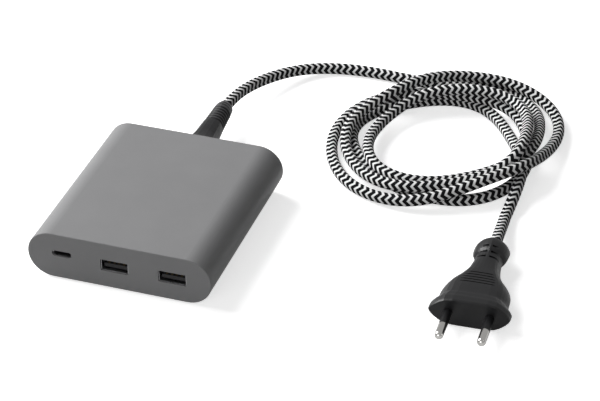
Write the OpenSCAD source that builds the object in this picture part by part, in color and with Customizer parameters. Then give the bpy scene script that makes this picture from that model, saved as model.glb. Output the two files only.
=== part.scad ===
// Desktop charging station with a braided mains cord, coiled beside it.
// Origin: middle of the housing's underside, on the surface that it stands on.
// +Z is up, +X is right and the ports face -Y. Lengths are in millimetres.

/* [Housing] */
// Width of the housing
body_w = 87.5; // [84:0.5:100]
// Depth of the housing from its port face to its back
body_d = 97.5; // [95:0.5:115]
// Height of the housing
body_h = 23.2; // [23:0.1:26]
// Thickness of the housing's wall
wall = 2; // [1.8:0.1:2.2]
// Rounding of the outer edges at the front and back
edge_r = 0.5; // [0.3:0.1:0.7]
// Thickness of the rear cover's plate
cover_t = 2.4; // [2:0.1:3]
// Width of the ledge round the rear cover
cover_ledge = 0.9; // [0.8:0.1:1.2]
// Reach of the rear cover's inner rim into the housing
cover_rim_l = 3; // [2:0.5:4]
// Thickness of that rim
cover_rim_t = 1.4; // [1:0.1:1.8]
// Width of the two posts that reach from the rear cover to the main board
cover_post_w = 4; // [3:0.5:5]
// Gap between pieces that slide into each other
fit = 0.1; // [0.06:0.02:0.16]

/* [Feet] */
// Diameter of a foot
foot_d = 8; // [6:0.5:10]
// Thickness of a foot
foot_t = 1.6; // [1.4:0.1:2]
// Depth of a foot's seat in the housing
foot_seat = 1; // [0.8:0.1:1.2]
// Distance from the middle of a foot to the front or back
foot_inset = 10; // [8:1:16]
// Distance from the middle of a foot to the middle of the housing
foot_x = 26; // [20:1:28]

/* [Ports] */
// Distance from the housing's left side to the middle of the small round-ended socket
usb_c_inset = 16.5; // [16:0.1:18]
// Height of that socket above the middle of the port face
usb_c_rise = 1.5; // [1.3:0.1:1.8]
// Width of the small socket's shell
usb_c_w = 8.94; // [8.8:0.02:9.1]
// Height of the small socket's shell
usb_c_h = 3.16; // [3.1:0.02:3.3]
// Depth of the small socket
usb_c_d = 7.4; // [7:0.1:9]
// Width of the small socket's opening in the port face
usb_c_slot_w = 9.4; // [9.2:0.1:9.8]
// Height of that opening
usb_c_slot_h = 2.9; // [2.8:0.1:3.1]
// Thickness of the lip in front of the small socket
usb_c_lip = 0.8; // [0.6:0.1:1]
// Place of the left wide socket, from the middle of the housing
usb_a_left_x = -2; // [-4:0.2:0]
// Distance from the housing's right side to the middle of the right wide socket
usb_a_inset = 18.3; // [17:0.1:20]
// Width of a wide socket's shell
usb_a_w = 13; // [12.8:0.1:13.3]
// Height of a wide socket's shell
usb_a_h = 5.62; // [5.52:0.02:5.8]
// Depth of a wide socket
usb_a_d = 14; // [13:0.5:18]
// Thickness of the sheet that the sockets' shells are made of
shell_t = 0.25; // [0.2:0.05:0.3]
// Gap between a socket's shell and the housing
port_gap = 0.15; // [0.1:0.05:0.2]
// How far the wide sockets stand back from the port face
port_recess = 0.5; // [0.3:0.1:0.8]

/* [Circuit board] */
// Thickness of the main board
board_t = 1.6; // [1.2:0.1:2]
// Gap between the main board's front edge and the housing
board_gap = 0.4; // [0.2:0.1:0.8]
// Room between the main board and the rear cover
board_room = 10; // [8:0.5:12]
// Gap between the main board's long edges and the housing
board_side_gap = 0.6; // [0.4:0.1:1]
// Thickness of the small socket's own board
riser_t = 1; // [0.8:0.1:1.2]
// Width of the small socket's own board
riser_w = 14; // [12:0.5:15]
// Length of the small socket's own board
riser_l = 14; // [12:0.5:15]
// Width of the two strips that carry that board
stand_w = 2; // [1.6:0.2:2.6]
// Reach of the rails that hold the main board
rail_reach = 2.2; // [1.6:0.2:3]
// Thickness of those rails
rail_t = 1.5; // [1.2:0.1:2]
// Thickness of the sheet under the main board
insulation_t = 0.4; // [0.3:0.1:0.6]
// Thickness of the heat spreader under the housing's top
spreader_t = 0.8; // [0.6:0.1:0.9]
// Thickness of the soft pad between the spreader and the transformer
pad_t = 0.6; // [0.4:0.1:1]

/* [Components] */
// Side length of the transformer's core
core_l = 25; // [22:0.5:27]
// Width of the core's middle leg
core_leg_w = 9.6; // [8:0.2:10]
// Height of the core's middle leg
core_leg_h = 5; // [4.4:0.1:5.2]
// Thickness of the core's outer walls
core_wall = 3.2; // [2.8:0.1:3.6]
// Thickness of the bobbin's wall and of its flanges
bobbin_t = 0.7; // [0.6:0.1:0.9]
// Height of the core above the board
core_lift = 0.8; // [0.6:0.1:1]
// Diameter of a bulk capacitor
bulk_d = 10; // [8:0.5:10.5]
// Length of a bulk capacitor
bulk_l = 21; // [18:0.5:23]
// Diameter of an output capacitor
out_cap_d = 8; // [6:0.5:8.5]
// Height of an output capacitor
out_cap_h = 10.4; // [8:0.2:10.6]
// Outer diameter of the filter choke's ring
choke_d = 14; // [12:0.5:15]
// Height of the choke's ring
choke_h = 6; // [5:0.5:7]
// Thickness of the choke's windings
choke_wire = 1; // [0.8:0.1:1.2]
// Diameter of the fuse
fuse_d = 4; // [3.5:0.5:5]
// Length of the fuse
fuse_l = 12; // [10:0.5:13]
// Length of the metal cap at each end of the fuse
fuse_cap_l = 2.5; // [2:0.5:3]
// Diameter of the varistor's disc
varistor_d = 9; // [7:0.5:10]
// Thickness of the varistor's disc
varistor_t = 3; // [2:0.5:4]
// Length of the box-shaped filter capacitor
film_cap_l = 13; // [10:0.5:13.5]
// Width of the filter capacitor
film_cap_w = 7; // [5:0.5:9]
// Height of the filter capacitor
film_cap_h = 10.4; // [9:0.2:10.8]
// Width of the bridge rectifier
rectifier_w = 14; // [11:0.5:15]
// Thickness of the bridge rectifier
rectifier_t = 3.6; // [3:0.1:4]
// Height of the bridge rectifier
rectifier_h = 10; // [8:0.5:11]
// Length of the heat sink
sink_l = 20; // [16:0.5:21]
// Height of the heat sink
sink_h = 10; // [8:0.5:11]
// Thickness of the heat sink's plate
sink_t = 1.2; // [1:0.1:1.6]
// Width of the heat sink's foot
sink_foot_w = 5; // [4.8:0.2:6]
// Width of the power transistor
transistor_w = 10; // [8:0.5:10.5]
// Height of the power transistor
transistor_h = 8.6; // [7:0.2:9]
// Thickness of the power transistor
transistor_t = 4.4; // [4:0.1:4.6]
// Width of the mains terminal
terminal_w = 12; // [10:0.5:14]
// Length of the mains terminal
terminal_l = 8; // [6:0.5:10]
// Height of the mains terminal
terminal_h = 8; // [6:0.5:10]

/* [Strain relief] */
// Length of the strain relief behind the housing
boot_l = 45.5; // [40:0.5:60]
// Distance that its end leans to the left
boot_lean = 1.8; // [0:0.1:3]
// Half of its width where it meets the rear cover
boot_base_r = 10; // [8.5:0.1:10.6]
// Thickness of its wall where the cord leaves it
boot_lip = 0.7; // [0.5:0.1:1]
// Radius of its neck in the rear cover
boot_neck_r = 5; // [4.5:0.1:6]
// Thickness of its flange behind the rear cover
boot_flange_t = 2; // [1.5:0.1:3]
// Reach of that flange beyond the neck
boot_flange_reach = 2; // [1.4:0.1:2.4]
// Number of grooves round it
boot_grooves = 6; // [4:1:7]
// Distance between two grooves
boot_pitch = 2.3; // [2:0.1:2.6]
// Depth of a groove
boot_groove = 1; // [0.5:0.1:1.2]

/* [Cord] */
// Diameter of the braided cord
cord_d = 5.6; // [5:0.1:6]
// Outer radius of the coil
coil_r = 59; // [56:0.5:62]
// Width of the coil from its outer to its inner edge
coil_w = 29; // [24:0.5:32]
// Height of the coil
coil_h = 14; // [11:0.5:17]
// Diameter of an insulated wire inside the housing
wire_d = 2; // [1.6:0.1:2.4]

/* [Plug] */
// Width of the plug at its pin face
plug_w = 36.6; // [34.6:0.1:37.4]
// Thickness of the plug
plug_t = 13.7; // [13:0.1:14.5]
// Length of the plug without its pins
plug_l = 54.1; // [48:0.1:58]
// Angle that the plug is turned by on the surface
plug_turn = 3; // [0:0.5:6]
// Length of a pin in front of the plug
pin_l = 19; // [18.5:0.1:19.5]
// Diameter of a pin
pin_d = 4; // [3.9:0.05:4.1]
// Distance between the pins' axes
pin_gap = 18.6; // [18:0.1:19.2]
// Depth of a pin inside the plug
pin_root = 8; // [6:0.5:10]
// Length of a pin's insulating sleeve in front of the plug
sleeve_l = 10; // [9:0.5:11]
// Thickness of that sleeve
sleeve_t = 0.5; // [0.4:0.05:0.6]
// Length of the thinner neck where the sleeve meets the plug
sleeve_neck_l = 0.6; // [0.4:0.1:1]
// Number of grooves in each flat side of the grip
grip_grooves = 5; // [2:1:5]
// Distance from the pin face to the first of them
grip_y = 16.2; // [15:0.1:17]
// Distance between two of them
grip_pitch = 2; // [1.4:0.1:2.2]
// Length of a grip groove across the plug
grip_l = 15.4; // [12:0.2:18]
// Width of a grip groove
groove_w = 0.6; // [0.4:0.1:0.8]
// Depth of a grip groove
groove_depth = 0.5; // [0.3:0.1:0.7]
// Number of slots across the top and bottom near the cord's end
slots = 3; // [1:1:3]
// Distance from the pin face to the first slot
slot_y = 37.6; // [36:0.2:38]
// Distance between two slots
slot_pitch = 3.6; // [3:0.1:4]
// Width of a slot
slot_w = 1.3; // [1:0.1:1.6]
// Depth of a slot
slot_depth = 1; // [0.6:0.1:1.4]
// Width of the rib that parts each slot in two
slot_rib = 1.6; // [1:0.1:2]

/* [Hidden] */
$fn = 48;

// Heights and faces of the housing
front_y = -body_d / 2;
back_y = body_d / 2;
bottom_z = foot_t - foot_seat;
mid_z = bottom_z + body_h / 2;
floor_z = bottom_z + wall;
ceiling_z = bottom_z + body_h - wall;
cover_y = back_y - cover_t;

// The main board lies under the wide sockets
board_top = mid_z - usb_a_h / 2;
board_bottom = board_top - board_t;
board_front = front_y + wall + board_gap;
board_back = cover_y - board_room;
board_w = 2 * (inner_half_width(board_bottom) - board_side_gap);
usb_c_x = usb_c_inset - body_w / 2;
usb_c_z = mid_z + usb_c_rise;
usb_a_right_x = body_w / 2 - usb_a_inset;
riser_top = usb_c_z - usb_c_h / 2;

// Standard insides of the sockets
usb_a_tongue_w = 11.1;
usb_a_tongue_t = 1.84;
usb_a_tongue_l = 8.9;
usb_a_tongue_drop = 0.92;
usb_c_tongue_w = 6.7;
usb_c_tongue_t = 0.7;
usb_c_tongue_l = 4.4;
tongue_set = 1.6;
contact_x = [-3.5, -1, 1, 3.5];
contact_t = 0.2;
contact_w = 1;
contact_set = 0.6;
spring_w = 2;
spring_l = 4;
spring_set = 3.5;

// Small roundings: a socket's sheet shell, and moulded or wound pieces
shell_r = 0.4;
corner_r = 0.5;

// Places of the components. The outer rows stand as close to the rails as their size allows.
part_gap = 0.6;
edge_x = board_w / 2 - rail_reach - part_gap;
core_x = -2;
core_y = -6;
core_bottom = board_top + core_lift;
core_h = ceiling_z - spreader_t - pad_t - core_bottom;
core_window = (core_l - core_leg_w) / 2 - core_wall;
bulk_count = 2;
bulk_pitch = bulk_d + part_gap;
bulk_back = board_back - 3;
out_cap_pitch = out_cap_d + 3;
out_cap_x = edge_x - out_cap_d / 2;
sockets_back = max(front_y + port_recess + usb_a_d, board_front + riser_l);
choke_hole = choke_d / 2;
choke_x = edge_x - choke_d / 2 - choke_wire;
choke_y = board_back - 7 - choke_d / 2 - choke_wire;
choke_span = 130;
fuse_x = choke_x - varistor_d / 2 - part_gap - fuse_l;
fuse_y = board_back - 4;
varistor_y = board_back - 5;
film_cap_x = choke_x - choke_d / 2 - choke_wire - part_gap - film_cap_l;
film_cap_back = board_back - 9;
rectifier_x = choke_x - rectifier_w;
rectifier_y = 5;
rectifier_cut = 2;
sink_x = core_x + core_l / 2 + 6.5;
cover_post_x = 28;
// Chips on the board: place of the front left corner, then width, length and height
CHIPS = [[-26, -16, 5, 6, 1.6], [-29, -4, 9, 7, 2], [27, -16, 6, 5, 1.5]];

// The crimped groove near a capacitor's foot
crimp_z = 2.4;
crimp_r = 0.8;
crimp_depth = 0.5;

// Route of the lead from the strain relief's end to the coil, measured from the middle of the
// housing's back
LEAD = [[-boot_lean, boot_l, 0], [-0.8, 60, -1.2], [1.2, 69.8, -2.5], [4.4, 79.2, -4], [10.4, 92.3, -6],
    [18.3, 102.4, -7.8], [26.7, 108.7, -8.8], [35.7, 112.1, -9.4], [45.7, 113.5, -9.4],
    [55.7, 113.7, -9.4], [63.7, 113.9, -9.4]];
// Route of the tail on the surface, from the coil towards the plug
TAIL = [[148.4, 74.7, 2.8], [148.7, 66.9, 2.8], [149.3, 58.9, 2.9], [149.9, 50.9, 3.4],
    [150.7, 42.9, 4.6], [151.3, 34.9, 6.2]];
coil_x = 101.7;
coil_y = 114.4;

// Place of the plug, at the middle of its pin face, and the tail's last point just behind the plug
plug_x = 154.8;
plug_y = -27.4;
tail_gap = 0.05;
pin_core_r = pin_d / 2 - sleeve_t;
tail_end = plug_l + tail_gap;
plug_end = [plug_x - tail_end * sin(plug_turn), plug_y + tail_end * cos(plug_turn), plug_t / 2];

// Half the width of the room inside the housing at height z
function inner_half_width(z) =
    (body_w - body_h) / 2 + sqrt(pow(body_h / 2 - wall, 2) - pow(z - mid_z, 2));

// Smooth curve through the rows of a table, each row a list of like length
function curve_row(p, i, t) = let (
    a = p[max(i - 1, 0)], b = p[i], c = p[i + 1], d = p[min(i + 2, len(p) - 1)])
    b + (c - a) * t / 2 + (2 * a - 5 * b + 4 * c - d) * t * t / 2
        + (3 * b - a - 3 * c + d) * t * t * t / 2;
function curve(p, steps) = concat(
    [for (i = [0 : len(p) - 2], k = [0 : steps - 1]) curve_row(p, i, k / steps)], [p[len(p) - 1]]);

// Row of a table at share s, where each row starts with its own share
function table_row(p, s) = let (
    i = max([for (k = [0 : len(p) - 2]) if (p[k][0] <= s) k]),
    t = (s - p[i][0]) / (p[i + 1][0] - p[i][0]))
    curve_row(p, i, t);

// Closed solid between rings that all have the same number of points
module skin(rings) {
    n = len(rings[0]);
    last = len(rings) - 1;
    points = [for (ring = rings, point = ring) point];
    sides = [for (i = [0 : last - 1], k = [0 : n - 1]) let (m = (k + 1) % n)
        each [[i * n + k, i * n + m, (i + 1) * n + m],
            [i * n + k, (i + 1) * n + m, (i + 1) * n + k]]];
    caps = [[for (k = [n - 1 : -1 : 0]) k], [for (k = [0 : n - 1]) last * n + k]];
    polyhedron(points, concat(sides, caps));
}

// Round tube along a route, with its end faces square to the two given directions
module tube(route, d, from, to, sides = 12) {
    last = len(route) - 1;
    skin([for (i = [0 : last]) let (
        raw = i == 0 ? from : i == last ? to : route[i + 1] - route[i - 1],
        ahead = raw / norm(raw),
        side = cross(ahead, [0, 0, 1]) / norm(cross(ahead, [0, 0, 1])),
        up = cross(side, ahead))
        [for (k = [0 : sides - 1]) let (a = 360 * k / sides)
            route[i] + d / 2 * (cos(a) * side + sin(a) * up)]]);
}

// Radius at angle a of a square of half size 1 with its corners cut off, from the share "flat"
// of its top edge to the share side_share of its side. A higher power makes it less rounded.
side_share = 0.2;
function outline_r(a, flat, power) = let (
    x = abs(cos(a)), z = abs(sin(a)),
    cut = ((1 - side_share) * x + (1 - flat) * z) / (1 - side_share * flat))
    pow(pow(x, power) + pow(z, power) + pow(cut, power), -1 / power);

// Ring of points at place y along +Y, with that outline stretched to the half sizes w and h
function outline_ring(y, w, h, flat, power, count) = let (
    wide = w / outline_r(0, flat, power),
    high = h / outline_r(90, flat, power))
    [for (k = [0 : count - 1]) let (a = 360 * k / count, r = outline_r(a, flat, power))
        [wide * r * cos(a), y, high * r * sin(a)]];

// Flat shape in the XZ plane, drawn out along +Y from y = 0
module along_y(length) translate([0, length, 0]) rotate([90, 0, 0]) linear_extrude(length) children();

// Flat shape in the YZ plane, drawn out along +X, centred
module along_x(length) rotate([90, 0, 90]) linear_extrude(length, center = true) children();

// Flat shape turned about the Y axis; its Y becomes the length along +Y
module turned_y() rotate([-90, 0, 0]) rotate_extrude() children();

// Rectangle with round corners, centred
module rounded(w, h, r) {
    square([w - 2 * r, h], center = true);
    square([w, h - 2 * r], center = true);
    for (x = [-1, 1], y = [-1, 1]) translate([x * (w / 2 - r), y * (h / 2 - r)]) circle(r);
}

// Rectangle with half-round ends, centred
module stadium(w, h) {
    square([w - h, h], center = true);
    for (x = [-1, 1]) translate([x * (w - h) / 2, 0]) circle(h / 2);
}

// Half of a rounded rectangle, for turning into a disc with rounded rims
module half_rounded(radius, length, r) {
    square([radius - r, length]);
    translate([0, r]) square([radius, length - 2 * r]);
    for (y = [r, length - r]) translate([radius - r, y]) circle(r);
}

// Stadium drawn out along +Y, with its outer edges rounded at both ends
module pill(w, h, length, r) {
    translate([0, length / 2, 0]) along_x(w - h) rounded(length, h, r);
    for (x = [-1, 1]) translate([x * (w - h) / 2, 0, 0]) turned_y() half_rounded(h / 2, length, r);
}

// Puts its children at a wide socket, on its middle line at the front of its shell
module at_usb_a(x) translate([x, front_y + port_recess, mid_z]) children();

// Puts its children at the small socket, in the same way
module at_usb_c() translate([usb_c_x, front_y + usb_c_lip, usb_c_z]) children();

// Puts its children in the plug's own frame: pins along -Y, origin in the middle of the pin face
module at_plug() translate([plug_x, plug_y, plug_t / 2]) rotate([0, 0, plug_turn]) children();

module foot_places() {
    for (x = [-foot_x, foot_x], y = [front_y + foot_inset, back_y - foot_inset])
        translate([x, y, 0]) children();
}

// Rails that hold the board's long edges, joined to the housing's inner wall
module board_rails() {
    rail_x = board_w / 2 - rail_reach;
    rail_w = body_w / 2 - rail_x;
    rail_l = board_back - board_front;
    intersection() {
        translate([0, board_front, mid_z]) along_y(rail_l) stadium(body_w - wall, body_h - wall);
        for (side = [-1, 1], z = [board_bottom - rail_t, board_top + fit])
            translate([side > 0 ? rail_x : -rail_x - rail_w, board_front, z])
                cube([rail_w, rail_l, rail_t]);
    }
}

module housing_shell() color("dimgray") {
    difference() {
        translate([0, front_y, mid_z]) pill(body_w, body_h, body_d, edge_r);
        translate([0, front_y + wall, mid_z]) along_y(body_d)
            stadium(body_w - 2 * wall, body_h - 2 * wall);
        translate([0, cover_y, mid_z]) along_y(body_d)
            stadium(body_w - 2 * cover_ledge, body_h - 2 * cover_ledge);
        for (x = [usb_a_left_x, usb_a_right_x]) at_usb_a(x) translate([0, -2 * port_recess, 0])
            along_y(2 * wall) rounded(usb_a_w + 2 * port_gap, usb_a_h + 2 * port_gap, shell_r + port_gap);
        at_usb_c() translate([0, -2 * usb_c_lip, 0]) along_y(3 * usb_c_lip)
            stadium(usb_c_slot_w, usb_c_slot_h);
        at_usb_c() along_y(2 * wall) stadium(usb_c_w + 2 * port_gap, usb_c_h + 2 * port_gap);
        foot_places() cylinder(h = foot_t, d = foot_d + 2 * fit);
    }
    board_rails();
}

module rear_cover() color("dimgray") difference() {
    union() {
        translate([0, cover_y, mid_z]) along_y(cover_t)
            stadium(body_w - 2 * (cover_ledge + fit), body_h - 2 * (cover_ledge + fit));
        translate([0, cover_y - cover_rim_l, mid_z]) along_y(cover_rim_l + cover_t / 2) difference() {
            stadium(body_w - 2 * (wall + fit), body_h - 2 * (wall + fit));
            stadium(body_w - 2 * (wall + fit + cover_rim_t), body_h - 2 * (wall + fit + cover_rim_t));
        }
        for (x = [-cover_post_x, cover_post_x])
            translate([x - cover_post_w / 2, board_back + fit, board_bottom])
                cube([cover_post_w, cover_y - board_back, cover_post_w]);
    }
    translate([0, cover_y - cover_rim_l, mid_z]) turned_y()
        square([boot_neck_r + fit, cover_t + 2 * cover_rim_l]);
}

module rubber_feet() color("#2a2a2a") foot_places() cylinder(h = foot_t, d = foot_d);

module insulation_sheet() color("#e8dcae")
    translate([-(body_w - body_h) / 2, board_front, floor_z])
        cube([body_w - body_h, board_back - board_front, insulation_t]);

module heat_spreader() color("silver")
    translate([-(body_w - body_h) / 2, core_y - core_l, ceiling_z - spreader_t])
        cube([body_w - body_h, 2 * core_l, spreader_t]);

module thermal_pad() color("lightsteelblue")
    translate([core_x - core_l / 2, core_y - core_l / 2, core_bottom + core_h])
        cube([core_l, core_l, pad_t]);

module main_board() color("#1f6b3a") translate([-board_w / 2, board_front, board_bottom])
    cube([board_w, board_back - board_front, board_t]);

// Board of the small socket, held above the main board on two strips
module usb_c_board() color("#1f6b3a") translate([usb_c_x - riser_w / 2, board_front, riser_top - riser_t])
    cube([riser_w, riser_l, riser_t]);

module usb_c_stand() color("#222222") for (x = [-riser_w / 2, riser_w / 2 - stand_w])
    translate([usb_c_x + x, board_front, board_top])
        cube([stand_w, riser_l, riser_top - riser_t - board_top]);

module usb_c_shell() color("silver") at_usb_c() along_y(usb_c_d) difference() {
    stadium(usb_c_w, usb_c_h);
    stadium(usb_c_w - 2 * shell_t, usb_c_h - 2 * shell_t);
}

// Insulator of the small socket: a block at the back and the tongue in front of it
module usb_c_tongue() color("#202020") at_usb_c() {
    block_y = tongue_set + usb_c_tongue_l;
    translate([0, block_y, 0]) along_y(usb_c_d - block_y)
        stadium(usb_c_w - 2 * shell_t, usb_c_h - 2 * shell_t);
    translate([0, tongue_set, 0]) along_y(usb_c_d - tongue_set)
        rounded(usb_c_tongue_w, usb_c_tongue_t, usb_c_tongue_t / 3);
}

// Sheet shell of a wide socket, with its spring windows above and below
module usb_a_shell(x) color("silver") at_usb_a(x) difference() {
    along_y(usb_a_d) rounded(usb_a_w, usb_a_h, shell_r);
    translate([0, -shell_t, 0]) along_y(usb_a_d + 2 * shell_t)
        rounded(usb_a_w - 2 * shell_t, usb_a_h - 2 * shell_t, shell_r - shell_t);
    for (s = [-1, 1]) translate([s * usb_a_w / 4 - spring_w / 2, spring_set, -usb_a_h])
        cube([spring_w, spring_l, 2 * usb_a_h]);
}

// Insulator of a wide socket: a block at the back and the tongue in front of it
module usb_a_tongue(x) color("#202020") at_usb_a(x) {
    block_y = tongue_set + usb_a_tongue_l;
    translate([0, block_y, 0]) along_y(usb_a_d - block_y)
        rounded(usb_a_w - 2 * shell_t, usb_a_h - 2 * shell_t, shell_r - shell_t);
    translate([-usb_a_tongue_w / 2, tongue_set, -usb_a_tongue_drop - usb_a_tongue_t / 2])
        cube([usb_a_tongue_w, usb_a_d - 2 * tongue_set, usb_a_tongue_t]);
}

// The four contact strips on top of a wide socket's tongue
module usb_a_contacts(x) color("gold") at_usb_a(x) for (k = contact_x)
    translate([k - contact_w / 2, tongue_set + contact_set, -usb_a_tongue_drop + usb_a_tongue_t / 2])
        cube([contact_w, usb_a_tongue_l - contact_set, contact_t]);

module usb_a_left_shell() usb_a_shell(usb_a_left_x);
module usb_a_left_tongue() usb_a_tongue(usb_a_left_x);
module usb_a_left_contacts() usb_a_contacts(usb_a_left_x);
module usb_a_right_shell() usb_a_shell(usb_a_right_x);
module usb_a_right_tongue() usb_a_tongue(usb_a_right_x);
module usb_a_right_contacts() usb_a_contacts(usb_a_right_x);

// Ferrite core: outer walls and a lower middle leg, with a window on each side of the leg
module transformer_core() color("#3a3a40") translate([core_x, core_y, core_bottom]) {
    difference() {
        translate([-core_l / 2, -core_l / 2, 0]) cube([core_l, core_l, core_h]);
        translate([-core_l / 2 + core_wall, -core_l / 2 + core_wall, -1])
            cube([core_l - 2 * core_wall, core_l - 2 * core_wall, core_h + 2]);
    }
    translate([-core_leg_w / 2, -core_l / 2 + core_wall / 2, (core_h - core_leg_h) / 2])
        cube([core_leg_w, core_l - core_wall, core_leg_h]);
}

// Bobbin: a square tube round the middle leg, with a flange at each end that stands on the board
module transformer_bobbin() color("#b8a070") translate([core_x, core_y, core_bottom + core_h / 2]) {
    length = core_l - 2 * core_wall - 2 * fit;
    flange_w = core_leg_w + 2 * core_window - 2 * fit;
    difference() {
        union() {
            translate([0, -length / 2, 0]) along_y(length)
                rounded(core_leg_w + 2 * (bobbin_t + fit), core_leg_h + 2 * (bobbin_t + fit), corner_r);
            for (y = [-length / 2, length / 2 - bobbin_t])
                translate([-flange_w / 2, y, -core_h / 2 - core_lift])
                    cube([flange_w, bobbin_t, core_h + core_lift]);
        }
        translate([0, -core_l, 0]) along_y(2 * core_l)
            square([core_leg_w + 2 * fit, core_leg_h + 2 * fit], center = true);
    }
}

module transformer_winding() color("goldenrod") translate([core_x, core_y, core_bottom + core_h / 2]) {
    length = core_l - 2 * (core_wall + fit + bobbin_t);
    tube_w = core_leg_w + 2 * (bobbin_t + fit);
    tube_h = core_leg_h + 2 * (bobbin_t + fit);
    build = (core_h - tube_h) / 2;
    translate([0, -length / 2, 0]) along_y(length) difference() {
        rounded(tube_w + 2 * build, core_h, build);
        rounded(tube_w, tube_h, corner_r);
    }
}

// Capacitor can standing on z = 0, with a crimped groove near its foot
module capacitor_can(d, h) rotate_extrude() difference() {
    half_rounded(d / 2, h, corner_r);
    translate([d / 2 + crimp_r - crimp_depth, crimp_z]) circle(crimp_r);
}

module bulk_capacitors() color("#243a66") for (k = [0 : bulk_count - 1])
    translate([-edge_x + bulk_d / 2 + k * bulk_pitch, bulk_back, board_top + bulk_d / 2])
        rotate([90, 0, 0]) capacitor_can(bulk_d, bulk_l);

// Two capacitors near the left edge of the board and three near the right one
module output_capacitors() color("#5a5f6a")
    for (x = [each [-out_cap_x : out_cap_pitch : -out_cap_x + 1.5 * out_cap_pitch],
            each [out_cap_x - 2 * out_cap_pitch : out_cap_pitch : out_cap_x + 1]])
        translate([x, sockets_back + part_gap + out_cap_d / 2, board_top])
            capacitor_can(out_cap_d, out_cap_h);

module filter_capacitor() color("#d8b84a")
    translate([film_cap_x, film_cap_back - film_cap_w, board_top])
        cube([film_cap_l, film_cap_w, film_cap_h]);

module choke_core() color("#2f4f3f") translate([choke_x, choke_y, board_top + choke_wire]) rotate_extrude()
    translate([choke_hole / 2, 0]) square([(choke_d - choke_hole) / 2, choke_h]);

// Two windings, each round one side of the choke's ring
module choke_windings() color("#b87333") translate([choke_x, choke_y, board_top + choke_wire])
    for (side = [0, 180]) rotate([0, 0, side - choke_span / 2])
        rotate_extrude(angle = choke_span) difference() {
            translate([choke_hole / 2 - choke_wire, -choke_wire])
                square([(choke_d - choke_hole) / 2 + 2 * choke_wire, choke_h + 2 * choke_wire]);
            translate([choke_hole / 2, 0]) square([(choke_d - choke_hole) / 2, choke_h]);
        }

// Ceramic fuse with a metal cap at each end
module fuse() color("#d9d4c8") translate([fuse_x, fuse_y, board_top + fuse_d / 2]) rotate([0, 90, 0]) {
    translate([0, 0, fuse_cap_l / 2]) cylinder(h = fuse_l - fuse_cap_l, d = fuse_d - 2 * shell_t);
    for (z = [0, fuse_l - fuse_cap_l]) translate([0, 0, z]) cylinder(h = fuse_cap_l, d = fuse_d);
}

// Rectifier with the cut corner that marks its first lead
module bridge_rectifier() color("#26262a") translate([rectifier_x, rectifier_y, board_top]) difference() {
    cube([rectifier_w, rectifier_t, rectifier_h]);
    translate([rectifier_w, rectifier_t / 2, rectifier_h]) rotate([0, 45, 0])
        cube([rectifier_cut, 2 * rectifier_t, rectifier_cut], center = true);
}

// Upright plate with a foot, which cools the power transistor
module heat_sink() color("silver") translate([sink_x, core_y - sink_l / 2, board_top]) {
    cube([sink_t, sink_l, sink_h]);
    cube([sink_foot_w, sink_l, sink_t]);
}

module power_transistor() color("#26262a")
    translate([sink_x + sink_t, core_y - transistor_w / 2, board_top + sink_t])
        cube([transistor_t, transistor_w, transistor_h]);

module varistor() color("#2c63a8") translate([choke_x, varistor_y, board_top + varistor_d / 2])
    along_y(varistor_t) circle(varistor_d / 2);

module control_chips() color("#26262a") for (c = CHIPS)
    translate([c[0], c[1], board_top]) cube([c[2], c[3], c[4]]);

module mains_terminal() color("#e6e6e0") translate([-terminal_w / 2, board_back - terminal_l, board_top])
    cube([terminal_w, terminal_l, terminal_h]);

// Two wires from the strain relief's flange to the terminal
module mains_wires() {
    from_y = cover_y - boot_flange_t;
    end_z = board_top + terminal_h / 2;
    for (side = [-1, 1]) color(side < 0 ? "#7a4a2a" : "#2c63a8") tube(curve([
        [side * wire_d * 0.6, from_y, mid_z], [side * wire_d * 0.8, from_y - wire_d, mid_z],
        [side * wire_d * 1.2, board_back + wire_d, end_z], [side * wire_d * 1.3, board_back, end_z]], 3),
        wire_d, [0, -1, 0], [0, -1, 0], 8);
}

// The strain relief's outline: share of its length, width and height from 0 at its end to 1 at the
// cover, and the power that squares it
BOOT = [[0, 1, 0.82, 8], [0.06, 0.79, 0.7, 8], [0.17, 0.51, 0.48, 7], [0.3, 0.38, 0.36, 6],
    [0.45, 0.32, 0.31, 5], [0.64, 0.24, 0.24, 4], [0.86, 0.19, 0.19, 3], [0.95, 0.14, 0.14, 2.5],
    [1, 0, 0, 2.5]];

// Depth of the grooves at distance y behind the rear cover
function boot_cut(y) = let (turn = (y - boot_l * 0.86) / boot_pitch + boot_grooves)
    turn < 0 || turn > boot_grooves ? 0 : boot_groove * pow(sin(180 * turn), 2);

module strain_relief() color("#1c1c1c") translate([0, back_y, mid_z]) {
    end_r = cord_d / 2 + boot_lip;
    ring_gap = boot_pitch / 4;
    skin([for (y = [each [0 : ring_gap : boot_l - ring_gap / 2], boot_l]) let (
        row = table_row(BOOT, y / boot_l),
        w = end_r + (boot_base_r - end_r) * row[1] - boot_cut(y),
        h = end_r + (boot_base_r - end_r) * row[2] - boot_cut(y))
        [for (p = outline_ring(y, w, h, 0.7, row[3], 24)) p - [boot_lean * y / boot_l, 0, 0]]]);
    translate([0, -cover_t - boot_flange_t, 0]) turned_y() {
        square([boot_neck_r, cover_t + boot_flange_t + ring_gap]);
        square([boot_neck_r + boot_flange_reach, boot_flange_t]);
    }
}

module cord_lead() color("#808080") {
    route = [for (p = LEAD) [p[0], back_y + p[1], mid_z + p[2]]];
    tube(curve(route, 2), cord_d, [0, 1, 0], [1, 0, 0]);
}

module cord_coil() color("#808080") translate([coil_x, coil_y, 0]) rotate_extrude()
    translate([coil_r - coil_w / 2, coil_h / 2]) rounded(coil_w, coil_h, cord_d / 2);

module cord_tail() color("#808080")
    tube(curve([each TAIL, plug_end], 2), cord_d, [0, -1, 0], [sin(plug_turn), -cos(plug_turn), 0]);

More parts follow.
